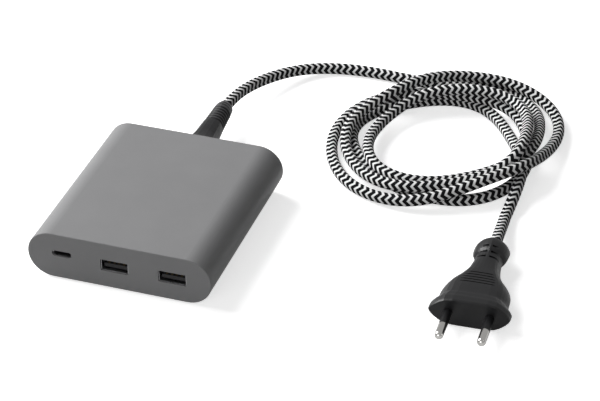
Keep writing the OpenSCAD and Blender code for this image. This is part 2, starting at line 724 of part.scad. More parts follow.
// The plug's outline from its pin face to its cord end: share of the length, shares of the width
// and thickness, flat part of the top and bottom, and the power that squares it
PLUG = [[0, 0.985, 0.95, 0.6, 12], [0.02, 1, 1, 0.6, 12], [0.07, 1, 1, 0.6, 12],
    [0.1, 0.97, 0.98, 0.6, 11], [0.135, 0.9, 0.96, 0.62, 10], [0.165, 0.862, 0.94, 0.62, 9],
    [0.24, 0.852, 0.93, 0.62, 9], [0.3, 0.83, 0.92, 0.62, 8], [0.36, 0.776, 0.9, 0.62, 8],
    [0.4, 0.715, 0.89, 0.62, 7], [0.445, 0.605, 0.88, 0.64, 7], [0.51, 0.49, 0.86, 0.66, 6],
    [0.57, 0.42, 0.84, 0.68, 5], [0.64, 0.378, 0.83, 0.7, 4], [0.72, 0.352, 0.84, 0.7, 3],
    [0.78, 0.345, 0.88, 0.7, 2.4], [0.8, 0.385, 0.94, 0.7, 2.2], [0.83, 0.43, 0.98, 0.7, 2.2],
    [0.9, 0.45, 1, 0.7, 2.2], [0.95, 0.43, 0.96, 0.7, 2.2], [0.98, 0.36, 0.84, 0.7, 2.2],
    [1, 0.24, 0.58, 0.7, 2.2]];

// Half the plug's width and half its thickness at distance y from its pin face
function plug_half_w(y) = plug_w / 2 * table_row(PLUG, y / plug_l)[1];
function plug_half_t(y) = plug_t / 2 * table_row(PLUG, y / plug_l)[2];

module plug_body() color("#1c1c1c") at_plug() difference() {
    skin([for (row = curve(PLUG, 3)) let (w = plug_w / 2 * min(1, row[1]), h = plug_t / 2 * min(1, row[2]))
        outline_ring(row[0] * plug_l, w, h, row[3], row[4], 32)]);
    for (side = [-1, 1]) translate([side * pin_gap / 2, -pin_root, 0])
        turned_y() square([pin_core_r, 2 * pin_root]);
    for (k = [0 : grip_grooves - 1]) let (y = grip_y + k * grip_pitch, z = plug_half_t(y))
        for (side = [-z, z]) translate([-grip_l / 2, y, side - groove_depth])
            cube([grip_l, groove_w, 2 * groove_depth]);
    for (k = [0 : slots - 1]) let (y = slot_y + k * slot_pitch) translate([0, y, 0]) along_y(slot_w)
        difference() {
            square(plug_w, center = true);
            stadium(2 * plug_half_w(y), 2 * (plug_half_t(y) - slot_depth));
            square([slot_rib, plug_w], center = true);
        }
}

// A pin: its thin root in the plug and the sleeve, and its bare round end
module plug_pin(side) color("silver") at_plug() translate([side * pin_gap / 2, 0, 0]) rotate([180, 0, 0]) {
    translate([0, -pin_root, 0]) turned_y() square([pin_core_r, pin_root + sleeve_l]);
    turned_y() {
        translate([0, sleeve_l]) square([pin_d / 2, pin_l - sleeve_l - pin_d / 2]);
        intersection() {
            translate([0, pin_l - pin_d / 2]) circle(pin_d / 2);
            square([pin_d, pin_l]);
        }
    }
}

module plug_sleeve(side) color("#161616") at_plug() translate([side * pin_gap / 2, -sleeve_l, 0])
    turned_y() translate([pin_core_r, 0]) {
        square([sleeve_t / 2, sleeve_l]);
        square([sleeve_t, sleeve_l - sleeve_neck_l]);
    }

module plug_pin_left() plug_pin(-1);
module plug_pin_right() plug_pin(1);
module plug_sleeve_left() plug_sleeve(-1);
module plug_sleeve_right() plug_sleeve(1);

housing_shell();
rear_cover();
rubber_feet();
insulation_sheet();
heat_spreader();
thermal_pad();
main_board();
usb_c_board();
usb_c_stand();
usb_c_shell();
usb_c_tongue();
usb_a_left_shell();
usb_a_left_tongue();
usb_a_left_contacts();
usb_a_right_shell();
usb_a_right_tongue();
usb_a_right_contacts();
transformer_core();
transformer_bobbin();
transformer_winding();
bulk_capacitors();
output_capacitors();
filter_capacitor();
choke_core();
choke_windings();
fuse();
bridge_rectifier();
heat_sink();
power_transistor();
varistor();
control_chips();
mains_terminal();
mains_wires();
strain_relief();
cord_lead();
cord_coil();
cord_tail();
plug_body();
plug_pin_left();
plug_pin_right();
plug_sleeve_left();
plug_sleeve_right();
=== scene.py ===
# %% [markdown]
# # A charging station with its braided mains cord
#
# The real object is a flat grey box with round sides. Three sockets sit in its front, and a
# braided cord leaves its back, lies in a loose coil on the right and ends in a mains plug.
# The exact solids come from the CAD model. This script makes the braided cord and gives every
# piece its finish, the floor and the light. Lengths are in metres.

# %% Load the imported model
import math
import bpy
import bmesh
from mathutils import Matrix, Vector, kdtree


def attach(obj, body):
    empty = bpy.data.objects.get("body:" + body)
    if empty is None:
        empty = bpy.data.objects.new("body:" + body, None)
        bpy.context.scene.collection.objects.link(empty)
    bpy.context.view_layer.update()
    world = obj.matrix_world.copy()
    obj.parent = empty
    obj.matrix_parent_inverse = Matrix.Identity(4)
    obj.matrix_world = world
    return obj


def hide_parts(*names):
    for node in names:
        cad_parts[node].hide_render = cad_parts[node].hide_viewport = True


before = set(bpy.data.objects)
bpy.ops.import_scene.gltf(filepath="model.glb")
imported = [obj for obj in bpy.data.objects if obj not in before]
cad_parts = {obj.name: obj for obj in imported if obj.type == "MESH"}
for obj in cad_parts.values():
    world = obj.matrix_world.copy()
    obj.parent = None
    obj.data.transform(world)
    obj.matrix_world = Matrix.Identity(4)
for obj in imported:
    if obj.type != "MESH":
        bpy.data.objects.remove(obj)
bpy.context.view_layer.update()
WHITE = (1, 1, 1, 1)

# %% [markdown]
# The camera comes first, because the cord is laid out by what the photograph shows. The photo
# was taken from about 34 degrees above the table and 19 degrees to the right of the port face,
# with a long lens, so that parallel edges stay nearly parallel. A camera's own axes are its
# right, its up and the direction behind it, and those three make up its matrix.

# %% Camera
AZIMUTH = math.radians(18.839)
ELEVATION = math.radians(33.811)
ROLL = math.radians(-0.406)
DISTANCE = 1.130206
TARGET = Vector((0.053652, 0.04357, 0.0006))
LENS = 144.4
SENSOR = 36
FAR_CLIP = 20

back = Vector((math.sin(AZIMUTH) * math.cos(ELEVATION),
               -math.cos(AZIMUTH) * math.cos(ELEVATION), math.sin(ELEVATION)))
right = Vector((math.cos(AZIMUTH), math.sin(AZIMUTH), 0))
up = back.cross(right)
rolled_right = math.cos(ROLL) * right + math.sin(ROLL) * up
rolled_up = math.cos(ROLL) * up - math.sin(ROLL) * right
eye = TARGET + DISTANCE * back

camera_data = bpy.data.cameras.new("photo_camera")
camera_data.lens = LENS
camera_data.sensor_width = SENSOR
camera_data.clip_end = FAR_CLIP
camera = bpy.data.objects.new("photo_camera", camera_data)
bpy.context.scene.collection.objects.link(camera)
turn = Matrix((rolled_right, rolled_up, back)).transposed().to_4x4()
camera.matrix_world = Matrix.Translation(eye) @ turn
bpy.context.scene.camera = camera
bpy.context.scene.view_settings.view_transform = "Standard"
print("camera at", [round(v, 4) for v in eye])

# %% [markdown]
# The cord is one braided lead, 5.6 mm thick. It leaves the strain relief, runs down to the
# table, goes nearly five times round the coil and ends at the plug. Its route could be drawn by
# hand point by point, but then strands would cut through each other where they cross. So each
# row of a turn gives a place on the table, as the camera sees it, and the layer that the strand
# lies in: 0 on the table, 1 on one other strand, 2 on two. Lifting a point along its line of
# sight keeps it at the same place in the picture. The stretch from the strain relief and the one
# to the plug hang free, so their rows give the height instead.

# %% Route of the cord, in millimetres: x, y and layer in the turns, x, y and z at both ends
CORD_D = 0.0056
LAYER = 0.0052
MM = 1000
LEAD_ROUTE = [(-1.8, 94.25, 12.2), (-0.8, 108.75, 11), (1.2, 118.55, 9.7), (4.4, 127.95, 8.2),
              (10.4, 141.05, 6.2), (18.3, 151.15, 4.4), (26.7, 157.45, 3.4),
              (35.7, 160.85, 2.8), (45.7, 162.25, 2.8), (55.7, 162.6, 2.8)]
TAIL_ROUTE = [(149.1, 66, 2.8), (149.3, 58.9, 2.9), (149.9, 50.9, 3.4), (150.7, 42.9, 4.6),
              (151.3, 34.9, 6.2), (151.97, 26.68, 6.85)]
TURN_1 = [(66, 162.4, 0), (80, 161, 0), (92, 162.6, 0), (104, 164.6, 0), (114, 165.4, 0),
          (123.5, 163.7, 0), (131, 160.2, 0), (136.7, 155.2, 0), (140.3, 150.4, 0.1),
          (143.2, 144.6, 0.4), (145.2, 138.6, 0.8), (146.5, 132, 1), (146.8, 125, 1.1),
          (146.2, 118.3, 1.2), (144.8, 111.7, 1.3), (142.3, 105.6, 1.3), (139.1, 100.5, 1.2),
          (135.5, 95.8, 1.1), (131.9, 91.7, 1), (127, 86.6, 0.8), (120.9, 81.6, 0.5),
          (113.7, 77.3, 0.3), (106.2, 74.4, 0.3)]
TURN_2 = [(98.6, 73.5, 0.4), (93.5, 73.9, 0.4), (88.7, 75.2, 0.4), (83.7, 78, 0.4),
          (78.9, 81.8, 0.5), (75.2, 86.5, 0.5), (72.2, 92.3, 0.6), (70.2, 98.4, 0.7),
          (69.3, 105.1, 0.8), (69.8, 112.1, 1), (71.5, 118.6, 1.1), (73.8, 128, 1.2),
          (76.2, 136.9, 1.2), (80.1, 144.5, 1.1), (84.8, 151, 1), (90.1, 155.9, 1),
          (96.5, 159.4, 1), (105, 161.9, 1), (115, 161.8, 1), (125, 159, 1), (132.8, 153, 1),
          (136.8, 146.4, 1), (138.9, 140.1, 1), (140.5, 131.7, 1.2), (141.4, 122.5, 1.5),
          (141.2, 115.2, 1.8), (140.3, 109, 2), (139.2, 103.1, 2.1), (137.3, 98.1, 2.1),
          (135.1, 93.3, 2.1), (132.5, 89.4, 2), (128.3, 84.9, 1.9), (123.9, 81.4, 1.7),
          (117.4, 76.4, 1.4), (109, 71.6, 1)]
TURN_3 = [(101.2, 68.1, 0.9), (93.2, 66.6, 1), (86, 67.6, 1), (79.2, 71, 1), (72.6, 75.8, 1),
          (66.8, 82, 1), (62.6, 89, 1), (59.6, 96.2, 1), (57.7, 103, 1), (56.6, 111, 1),
          (57.6, 121, 1), (61.4, 133, 1), (65.4, 142, 1), (69.4, 149.4, 1), (74.9, 159.2, 1),
          (81.7, 166.5, 1), (91.7, 171.6, 1), (104.1, 173.8, 1), (114.1, 174.4, 1),
          (123, 172.9, 0.9), (130, 170, 0.8), (136, 166, 0.7), (142, 161, 0.6),
          (147, 155.6, 0.5), (151.2, 149, 0.5), (154, 142, 0.5), (155.8, 133.9, 0.5),
          (155.9, 126.4, 0.6), (154.4, 118.8, 0.9), (151.9, 111.7, 1.4), (148.8, 105.3, 2),
          (145.5, 100.2, 2.4), (141.7, 95.5, 2.6), (138.2, 91.7, 2.6), (134.9, 87.8, 2.5),
          (131.7, 83.4, 2.3), (127.5, 78.1, 1.9), (124.3, 74.5, 1.6), (121.1, 71.2, 1.3),
          (118.3, 67.9, 1.1), (115, 64.2, 1), (110.7, 60.6, 0.9)]
TURN_4 = [(105.3, 57.4, 0.5), (100.1, 55.3, 0.2), (94.3, 54.9, 0.1), (88, 55.3, 0),
          (81.8, 56.7, 0), (75, 60.2, 0), (69, 65, 0), (64, 70.4, 0), (59.6, 77.2, 0),
          (56.1, 85.2, 0), (53.7, 93.4, 0), (52.2, 102, 0), (52.2, 111, 0), (54.7, 122.1, 0),
          (60.2, 134, 0), (68.5, 143.4, 0.2), (80.1, 149.4, 0.4), (91.2, 152.8, 0.5),
          (100.9, 154.8, 0.5), (109.9, 155.1, 0.5), (116.9, 154, 0.5), (122.9, 151.9, 0.4),
          (128.5, 148.7, 0.3), (133.1, 143.7, 0.2), (136.7, 137.9, 0.1), (140.3, 129.8, 0),
          (143.8, 120.4, 0), (146.4, 111.8, 0), (147.8, 103, 0), (147.6, 94.1, 0),
          (145.8, 86.4, 0), (143.2, 80.1, 0), (139.9, 74.6, 0), (134.5, 68.9, 0),
          (127.5, 64.6, 0), (120.4, 62.5, 0), (114.6, 62.3, 0)]
TURN_5 = [(108.1, 62.8, 0), (101.4, 64, 0), (94.1, 66, 0), (86.4, 69.7, 0), (80, 74.6, 0),
          (74.8, 80, 0), (70.3, 85.6, 0), (65.8, 91.7, 0), (62.1, 98.6, 0), (60.4, 105.2, 0),
          (60.3, 112.2, 0), (62.4, 121, 0), (67.1, 128.4, 0), (72.9, 134.8, 0), (80, 140.1, 0),
          (87, 144.4, 0), (93.7, 147.6, 0), (99.6, 149.3, 0), (105.8, 149.3, 0),
          (111.1, 147.7, 0), (116.2, 144.9, 0), (121, 141.4, 0), (125.8, 136.1, 0.1),
          (130.8, 129.5, 0.2), (135.4, 122.8, 0.2), (139.4, 116.1, 0.4), (143.2, 108.9, 0.7),
          (146.2, 101.6, 1), (147.9, 94, 1.1), (148.1, 87.2, 0.9), (148.6, 79.3, 0.4),
          (148.9, 72.6, 0.1)]
TURNS = [TURN_1, TURN_2, TURN_3, TURN_4, TURN_5]
print("turns of the coil:", len(TURNS))

# %% From rows to places in space
def seen_at(x, y, layer):
    """Place in space that the camera sees at the point (x, y) of the table, in a layer."""
    floor_point = Vector((x, y, CORD_D / 2 * MM)) / MM
    rise = layer * LAYER
    return floor_point + (eye - floor_point) * (rise / (eye.z - floor_point.z))


rough = [Vector(p) / MM for p in LEAD_ROUTE]
rough += [seen_at(*row) for turn_rows in TURNS for row in turn_rows]
rough += [Vector(p) / MM for p in TAIL_ROUTE]
print("rough route:", len(rough), "points")

# %% [markdown]
# A spline through these points is smooth, but small errors in the rows leave wobbles in it that
# a stiff cord doesn't have. Moving each point towards the middle of its neighbours takes them
# out, and would also pull the loops tight. So each step towards the middle is followed by a
# slightly longer one away from it, which leaves the large bends as they are.

# %% Even spacing along a smooth curve
STEP = 0.0025
SPLINE_STEPS = 6
EVEN_ROUNDS = 700
EVEN_SHARE = 0.6
WAY_BACK = 1.01


def spline_points(points, steps):
    """Points of a smooth curve through the given points."""
    result = []
    last = len(points) - 1
    for i in range(last):
        a = points[max(i - 1, 0)]
        b = points[i]
        c = points[i + 1]
        d = points[min(i + 2, last)]
        for k in range(steps):
            t = k / steps
            result.append(b + (c - a) * t / 2 + (2 * a - 5 * b + 4 * c - d) * t * t / 2
                          + (3 * b - a - 3 * c + d) * t ** 3 / 2)
    return result + [points[last]]


def line_length(points):
    """Length of the line through the points."""
    return sum((b - a).length for a, b in zip(points, points[1:]))


def even_points(points, step):
    """The same line with its points a nearly equal step apart."""
    total = line_length(points)
    count = max(2, round(total / step))
    result = [points[0].copy()]
    walked = 0.0
    for a, b in zip(points, points[1:]):
        part = (b - a).length
        while len(result) < count and walked + part >= total * len(result) / count:
            share = (total * len(result) / count - walked) / part
            result.append(a.lerp(b, share))
        walked += part
    return result + [points[-1].copy()]


def evened(points, rounds, share):
    """The line with its wobbles evened out, but not shrunk: each round goes there and back."""
    for step in range(2 * rounds):
        pull = share if step % 2 == 0 else -share * WAY_BACK
        around = [(points[i - 1] + points[i + 1]) / 2 for i in range(1, len(points) - 1)]
        inner = [p.lerp(q, pull) for p, q in zip(points[1:-1], around)]
        points = [points[0], *inner, points[-1]]
    return points


route = even_points(spline_points(rough, SPLINE_STEPS), STEP)
route = evened(route, EVEN_ROUNDS, EVEN_SHARE)
route = even_points(route, STEP)
print("cord length before settling", round(line_length(route), 3))

# %% [markdown]
# The smooth line still cuts through itself here and there. A real cord settles: each strand is
# pushed off the others, sinks until something carries it, and its stiffness evens out sharp
# bends. The loops below do just that. They find near strands with a k-d tree, and move each
# point only along its line of sight, so that the picture stays the same whatever the strands do
# in depth. The first and the last points stay where the strain relief and the plug hold them.

# %% Pushes between strands
CLOSE = 0.0055
NEIGHBOURS = 10
SAME_LAYER = 0.15


def pushes(points, sight, layers):
    """How far each point has to move along its line of sight to clear the strands it meets."""
    tree = kdtree.KDTree(len(points))
    for i, p in enumerate(points):
        tree.insert(p, i)
    tree.balance()
    moves = [0.0] * len(points)
    touches = [1] * len(points)
    for i, p in enumerate(points):
        for q, k, gap in tree.find_range(p, CLOSE):
            if k <= i + NEIGHBOURS:
                continue
            over = (p - q).dot(sight[i])
            drawn_over = layers[i] - layers[k]
            rank = drawn_over if abs(drawn_over) > SAME_LAYER else over
            across = math.sqrt(max(CLOSE ** 2 - gap ** 2 + over ** 2, 0))
            push = math.copysign(across, rank) - over
            moves[i] += push / 2
            moves[k] -= push / 2
            touches[i] += 1
            touches[k] += 1
    return [move / count for move, count in zip(moves, touches)]


# %% Stiffness of the cord
REACH = 4
MOST_BEND = 0.0015
SMOOTH_SHARE = 0.3


def ease_bends(lifts, free):
    """Spread what is too sharp in a bend over its neighbours, then smooth the lifts a little."""
    for i in free:
        bend = lifts[i - REACH] - 2 * lifts[i] + lifts[i + REACH]
        extra = bend - max(-MOST_BEND, min(MOST_BEND, bend))
        lifts[i] += extra / 4
        lifts[i - REACH] -= extra / 8
        lifts[i + REACH] -= extra / 8
    around = [(lifts[i - 2] + lifts[i - 1] + lifts[i + 1] + lifts[i + 2]) / 4 for i in free]
    for i, mean in zip(free, around):
        lifts[i] = max(0.0, lifts[i] * (1 - SMOOTH_SHARE) + mean * SMOOTH_SHARE)


# %% Let the cord settle
FREE_START = 34
FREE_END = 16
PUSH_SHARE = 1.6
SINK = 0.00008
SINK_UNTIL = 0.75
SETTLE_ROUNDS = 300


def settle(points, rounds):
    """Lift each point along its line of sight until no strands meet and no bend is sharp."""
    sight = [(eye - p).normalized() for p in points]
    lifts = [(p.z - CORD_D / 2) / ray.z for p, ray in zip(points, sight)]
    bases = [p - ray * lift for p, ray, lift in zip(points, sight, lifts)]
    layers = [lift * ray.z / LAYER for ray, lift in zip(sight, lifts)]
    free = range(FREE_START, len(points) - FREE_END)
    for step in range(rounds):
        points = [base + ray * lift for base, ray, lift in zip(bases, sight, lifts)]
        push = pushes(points, sight, layers)
        sink = SINK if step < rounds * SINK_UNTIL else 0.0
        for i in free:
            lifts[i] += push[i] * PUSH_SHARE - sink
        ease_bends(lifts, free)
    return [base + ray * lift for base, ray, lift in zip(bases, sight, lifts)]


route = settle(route, SETTLE_ROUNDS)
for p in route:
    p.z = max(p.z, CORD_D / 2)
route = even_points(route, STEP)

# %% [markdown]
# The cord's surface is a tube. A curve with a bevel would do, but the braid has to follow the
# cord, so the tube is made as a mesh with a UV map of its own: U is the distance along the
# cord and V goes round it. A disc is created once, which closes the near end. Each next ring is
# extruded from the one before and moved into place, as the editor's extrude tool does, and the
# last ring is filled.

# %% Directions across the route
def ring_frames(points):
    """Each point with two directions across the route there, which don't twist along it."""
    frames = []
    side = Vector((1, 0, 0))
    for i, p in enumerate(points):
        ahead = (points[min(i + 1, len(points) - 1)] - points[max(i - 1, 0)]).normalized()
        side = (side - side.dot(ahead) * ahead).normalized()
        frames.append((p, side, ahead.cross(side)))
    return frames


# %% UVs of one step of the tube
def write_uv(faces, uv_layer, ring, old_ring, start, end, sides):
    """UVs of the faces between two rings: metres along the tube and the share of a turn."""
    for face in faces:
        on_new = [ring[v] for v in face.verts if v in ring]
        low = min(on_new)
        low = sides - 1 if (low == 0 and max(on_new) == sides - 1) else low
        for loop in face.loops:
            fresh = loop.vert in ring
            k = ring[loop.vert] if fresh else old_ring[loop.vert]
            share = (k if k >= low else k + sides) / sides
            loop[uv_layer].uv = (end if fresh else start, share)


# %% Tube along a route
def tube_mesh(name, points, radius, sides):
    """Closed tube whose UV map gives metres along it and the share of a turn round it."""
    bm = bmesh.new()
    uv_layer = bm.loops.layers.uv.new("along")
    verts = list(bmesh.ops.create_circle(bm, cap_ends=True, segments=sides, radius=1)["verts"])
    offsets = [v.co.copy() for v in verts]
    edges = list(bm.edges)
    old_ring = {}
    faces = []
    distance = 0.0
    before = points[0]
    for p, side, over in ring_frames(points):
        if old_ring:
            made = bmesh.ops.extrude_edge_only(bm, edges=edges)["geom"]
            edges = [g for g in made if isinstance(g, bmesh.types.BMEdge)]
            faces = [g for g in made if isinstance(g, bmesh.types.BMFace)]
            new_at = {g.co.copy().freeze(): g for g in made if isinstance(g, bmesh.types.BMVert)}
            verts = [new_at[v.co.copy().freeze()] for v in verts]
        for v, offset in zip(verts, offsets):
            v.co = p + radius * (offset.x * side + offset.y * over)
        ring = {v: k for k, v in enumerate(verts)}
        step = (p - before).length
        write_uv(faces, uv_layer, ring, old_ring, distance, distance + step, sides)
        distance += step
        before = p
        old_ring = ring
    bmesh.ops.edgeloop_fill(bm, edges=edges)
    bmesh.ops.recalc_face_normals(bm, faces=bm.faces)
    mesh = bpy.data.meshes.new(name)
    bm.to_mesh(mesh)
    bm.free()
    mesh.shade_smooth()
    return mesh


# %% The cord itself
SIDES = 20
cord = bpy.data.objects.new("braided_cord", tube_mesh("braided_cord", route, CORD_D / 2, SIDES))
bpy.context.scene.collection.objects.link(cord)
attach(cord, "root")
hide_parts("cord_lead", "cord_coil", "cord_tail")
print("cord mesh", len(cord.data.polygons), "faces")

# %% [markdown]

# %% [markdown]
# Each finish is built from shader nodes. A small helper makes a material and hands back its
# node tree, so that the cells below only say what is special about each one.

# %% Material and node helpers
def new_material(name, colour, roughness, metallic=0.0, specular=0.5):
    """A material with its plain values on the shader's own sockets, its tree and its shader."""
    material = bpy.data.materials.new(name)
    material.use_nodes = True
    shader = material.node_tree.nodes["Principled BSDF"]
    shader.inputs["Base Color"].default_value = (*colour, 1)
    shader.inputs["Roughness"].default_value = roughness
    shader.inputs["Metallic"].default_value = metallic
    shader.inputs["Specular IOR Level"].default_value = specular
    return material, material.node_tree, shader


def add_node(tree, kind, **values):
    """A node of a kind, with settings by name and input values by socket name."""
    node = tree.nodes.new(kind)
    for key, value in values.items():
        if key in node.inputs:
            node.inputs[key].default_value = value
        else:
            setattr(node, key, value)
    return node


def math_node(tree, operation, first, second=None):
    """A Math node fed by sockets or numbers."""
    node = tree.nodes.new("ShaderNodeMath")
    node.operation = operation
    for socket, value in zip(node.inputs, (first, second)):
        if value is None:
            continue
        if isinstance(value, (int, float)):
            socket.default_value = value
        else:
            tree.links.new(value, socket)
    return node.outputs[0]


def object_coords(tree):
    """The piece's own coordinates, so that a pattern stays on it."""
    return tree.nodes.new("ShaderNodeTexCoord").outputs["Object"]


# %% Pattern helpers
NOISE_LOW = 0.3
NOISE_HIGH = 0.7


def noise(tree, scale, detail, coords=None):
    """Noise over the piece's own coordinates, or over others."""
    if coords is None:
        coords = object_coords(tree)
    node = tree.nodes.new("ShaderNodeTexNoise")
    node.inputs["Scale"].default_value = scale
    node.inputs["Detail"].default_value = detail
    tree.links.new(coords, node.inputs["Vector"])
    return node.outputs["Fac"]


def ramp(tree, socket, low, high, dark, light):
    """Colours between two tones as a value goes from low to high."""
    node = tree.nodes.new("ShaderNodeValToRGB")
    node.color_ramp.elements[0].position = low
    node.color_ramp.elements[0].color = (*dark, 1)
    node.color_ramp.elements[1].position = high
    node.color_ramp.elements[1].color = (*light, 1)
    tree.links.new(socket, node.inputs["Fac"])
    return node.outputs["Color"]


def mottle(tree, scale, detail, dark, light):
    """Two tones that change with noise, which seldom leaves the middle of its range."""
    return ramp(tree, noise(tree, scale, detail), NOISE_LOW, NOISE_HIGH, dark, light)


def grey(value):
    """A neutral colour."""
    return (value,) * 3


def add_bump(tree, shader, height, distance, strength):
    """Bump of a given depth in metres, at a strength from 0 to 1."""
    node = tree.nodes.new("ShaderNodeBump")
    node.inputs["Distance"].default_value = distance
    node.inputs["Strength"].default_value = strength
    tree.links.new(height, node.inputs["Height"])
    tree.links.new(node.outputs["Normal"], shader.inputs["Normal"])


def finish_with(material, *names):
    """Put a material on CAD nodes, in every slot that they have."""
    for name in names:
        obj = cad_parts[name]
        if len(obj.material_slots) == 0:
            obj.data.materials.append(material)
        for slot in obj.material_slots:
            slot.material = material


# %% [markdown]
# The braid is woven from black and white yarns, so that zigzag rings run round the cord, with
# four zigzags to a turn and a new ring every 3.4 mm. A picture of a braid could be laid on the
# cord, but a triangle wave of V that shifts a stripe pattern along U gives the same rings, sharp
# at any distance.

# %% Braid: black and white zigzags
ZIGZAGS = 4.0
ZIGZAG_PITCH = 0.0034
ZIGZAG_RISE = 0.0017
BLACK_UNTIL = 0.56
WHITE_FROM = 0.64
BLACK_YARN = (0.005, 0.005, 0.006)
WHITE_YARN = (0.86, 0.86, 0.86)


def triangle(tree, socket, count):
    """Triangle wave from 0 to 1, with a number of waves in each unit of the socket."""
    turned = math_node(tree, "FRACT", math_node(tree, "MULTIPLY", socket, count))
    doubled = math_node(tree, "MULTIPLY", turned, 2.0)
    return math_node(tree, "ABSOLUTE", math_node(tree, "SUBTRACT", doubled, 1.0))


braid, tree, shader = new_material("black_and_white_braid", (0.4, 0.4, 0.4), 0.8,
                                   specular=0.08)
uv_node = add_node(tree, "ShaderNodeUVMap", uv_map="along")
split = tree.nodes.new("ShaderNodeSeparateXYZ")
tree.links.new(uv_node.outputs["UV"], split.inputs[0])
along = split.outputs["X"]
round_it = split.outputs["Y"]
shift = math_node(tree, "MULTIPLY", triangle(tree, round_it, ZIGZAGS), ZIGZAG_RISE)
stripe_at = math_node(tree, "DIVIDE", math_node(tree, "ADD", along, shift), ZIGZAG_PITCH)
stripe = triangle(tree, stripe_at, 1.0)
colour = ramp(tree, stripe, BLACK_UNTIL, WHITE_FROM, BLACK_YARN, WHITE_YARN)
tree.links.new(colour, shader.inputs["Base Color"])
print("braid pitch", ZIGZAG_PITCH)

# %% [markdown]
# The single yarns show as fine ribs that cross the cord at a slant, one way and the other. Two
# waves that slant both ways are multiplied, so that only their crossings stand up, and go into
# the bump.

# %% Braid: ribs of the yarns
YARN_PITCH = 0.0017
YARN_SLANT = 16.0
YARN_DEPTH = 0.00025


def slanted(operation):
    """Wave along the cord that slants to one side or the other as it goes round."""
    yarn_at = math_node(tree, "DIVIDE", along, YARN_PITCH)
    slant = math_node(tree, "MULTIPLY", round_it, YARN_SLANT)
    return triangle(tree, math_node(tree, operation, yarn_at, slant), 1.0)


yarns = math_node(tree, "MULTIPLY", slanted("ADD"), slanted("SUBTRACT"))
add_bump(tree, shader, yarns, YARN_DEPTH, 0.8)
cord.data.materials.append(braid)
print("yarn ribs", YARN_DEPTH, "m deep")

# %% [markdown]
# The housing is a satin grey plastic with a fine moulded grain. One flat grey would look like
# a drawing, so a coarse noise varies its tone, a finer one its gloss, and a very fine one gives
# it a grain a few hundredths of a millimetre deep.

# %% Housing plastic
housing, tree, shader = new_material("grey_satin_plastic", (0.23, 0.23, 0.234), 0.4,
                                     specular=0.28)
tone = mottle(tree, 60.0, 3.0, (0.225, 0.225, 0.229), (0.236, 0.236, 0.24))
tree.links.new(tone, shader.inputs["Base Color"])
gloss = mottle(tree, 900.0, 2.0, grey(0.36), grey(0.44))
tree.links.new(gloss, shader.inputs["Roughness"])
add_bump(tree, shader, noise(tree, 4200.0, 2.0), 0.00003, 0.5)
finish_with(housing, "housing_shell", "rear_cover")
print("housing finished")

# %% [markdown]
# The strain relief and the plug are moulded in black soft plastic. It is nearly matte, but
# its rounded edges catch a soft highlight.

# %% Black moulded rubber
def black_rubber(name):
    """Black soft plastic with a gloss that varies a little."""
    material, tree, shader = new_material(name, (0.012, 0.012, 0.013), 0.36, specular=0.3)
    gloss = mottle(tree, 500.0, 3.0, grey(0.3), grey(0.42))
    tree.links.new(gloss, shader.inputs["Roughness"])
    add_bump(tree, shader, noise(tree, 2600.0, 2.0), 0.00004, 0.5)
    return material, tree, shader


rubber = black_rubber("black_moulded_rubber")[0]
finish_with(rubber, "plug_body")
print("plug finished")

# %% [markdown]
# The strain relief has grooves cut into it, but at this size their own shading hardly shows.
# So its ridges are painted a little lighter and the grooves between them darker: a painted
# highlight and painted shade. The tone follows the real grooves: a triangle wave along the
# piece, with the grooves' own pitch, that stops where they stop.

# %% Ridges of the strain relief: painted highlight and painted shade
RIDGE_END = 0.08788
RIDGE_PITCH = 0.0023
RIDGE_COUNT = 6.0
RIDGE_FOOT = 0.5
RIDGE_TOP = 1.0
ribbed, tree, shader = black_rubber("ribbed_rubber_painted_light_and_shade")
split = tree.nodes.new("ShaderNodeSeparateXYZ")
tree.links.new(object_coords(tree), split.inputs[0])
from_end = math_node(tree, "SUBTRACT", RIDGE_END, split.outputs["Y"])
ridge_at = math_node(tree, "DIVIDE", from_end, RIDGE_PITCH)
height = triangle(tree, ridge_at, 1.0)
among = math_node(tree, "LESS_THAN", ridge_at, RIDGE_COUNT)
painted_ridge_light_and_shade = math_node(tree, "MULTIPLY", height, among)
# Painted highlight on the ridges and painted shade in the grooves, from this ramp's two tones
tone = ramp(tree, painted_ridge_light_and_shade, RIDGE_FOOT, RIDGE_TOP, (0.006, 0.006, 0.007), (0.11, 0.11, 0.114))
tree.links.new(tone, shader.inputs["Base Color"])
finish_with(ribbed, "strain_relief")
print("strain relief finished")

# %% [markdown]
# The pins' sleeves are a hard black plastic, smoother than the plug. The feet, which only show
# from below, are a matte rubber.

# %% Sleeves and feet
sleeve, tree, shader = new_material("black_sleeve_plastic", (0.01, 0.01, 0.011), 0.3,
                                    specular=0.25)
add_bump(tree, shader, noise(tree, 1500.0, 2.0), 0.00002, 0.4)
finish_with(sleeve, "plug_sleeve_left", "plug_sleeve_right")
feet, tree, shader = new_material("foot_rubber", (0.03, 0.03, 0.03), 0.8)
add_bump(tree, shader, noise(tree, 1200.0, 3.0), 0.00005, 0.6)
finish_with(feet, "rubber_feet")
print("sleeves and feet finished")

# %% [markdown]
# Metal pieces: plated pins, thin steel socket shells, contacts, aluminium sheet and cans, and
# the choke's copper. Each has its own polish, and fine marks that run one way, made with noise
# that is stretched along the piece by a Mapping node.

# %% Metals
MARK_SCALE = 800.0
MARK_BUMP = 0.4
POLISHED = 0.8
DULLED = 1.3


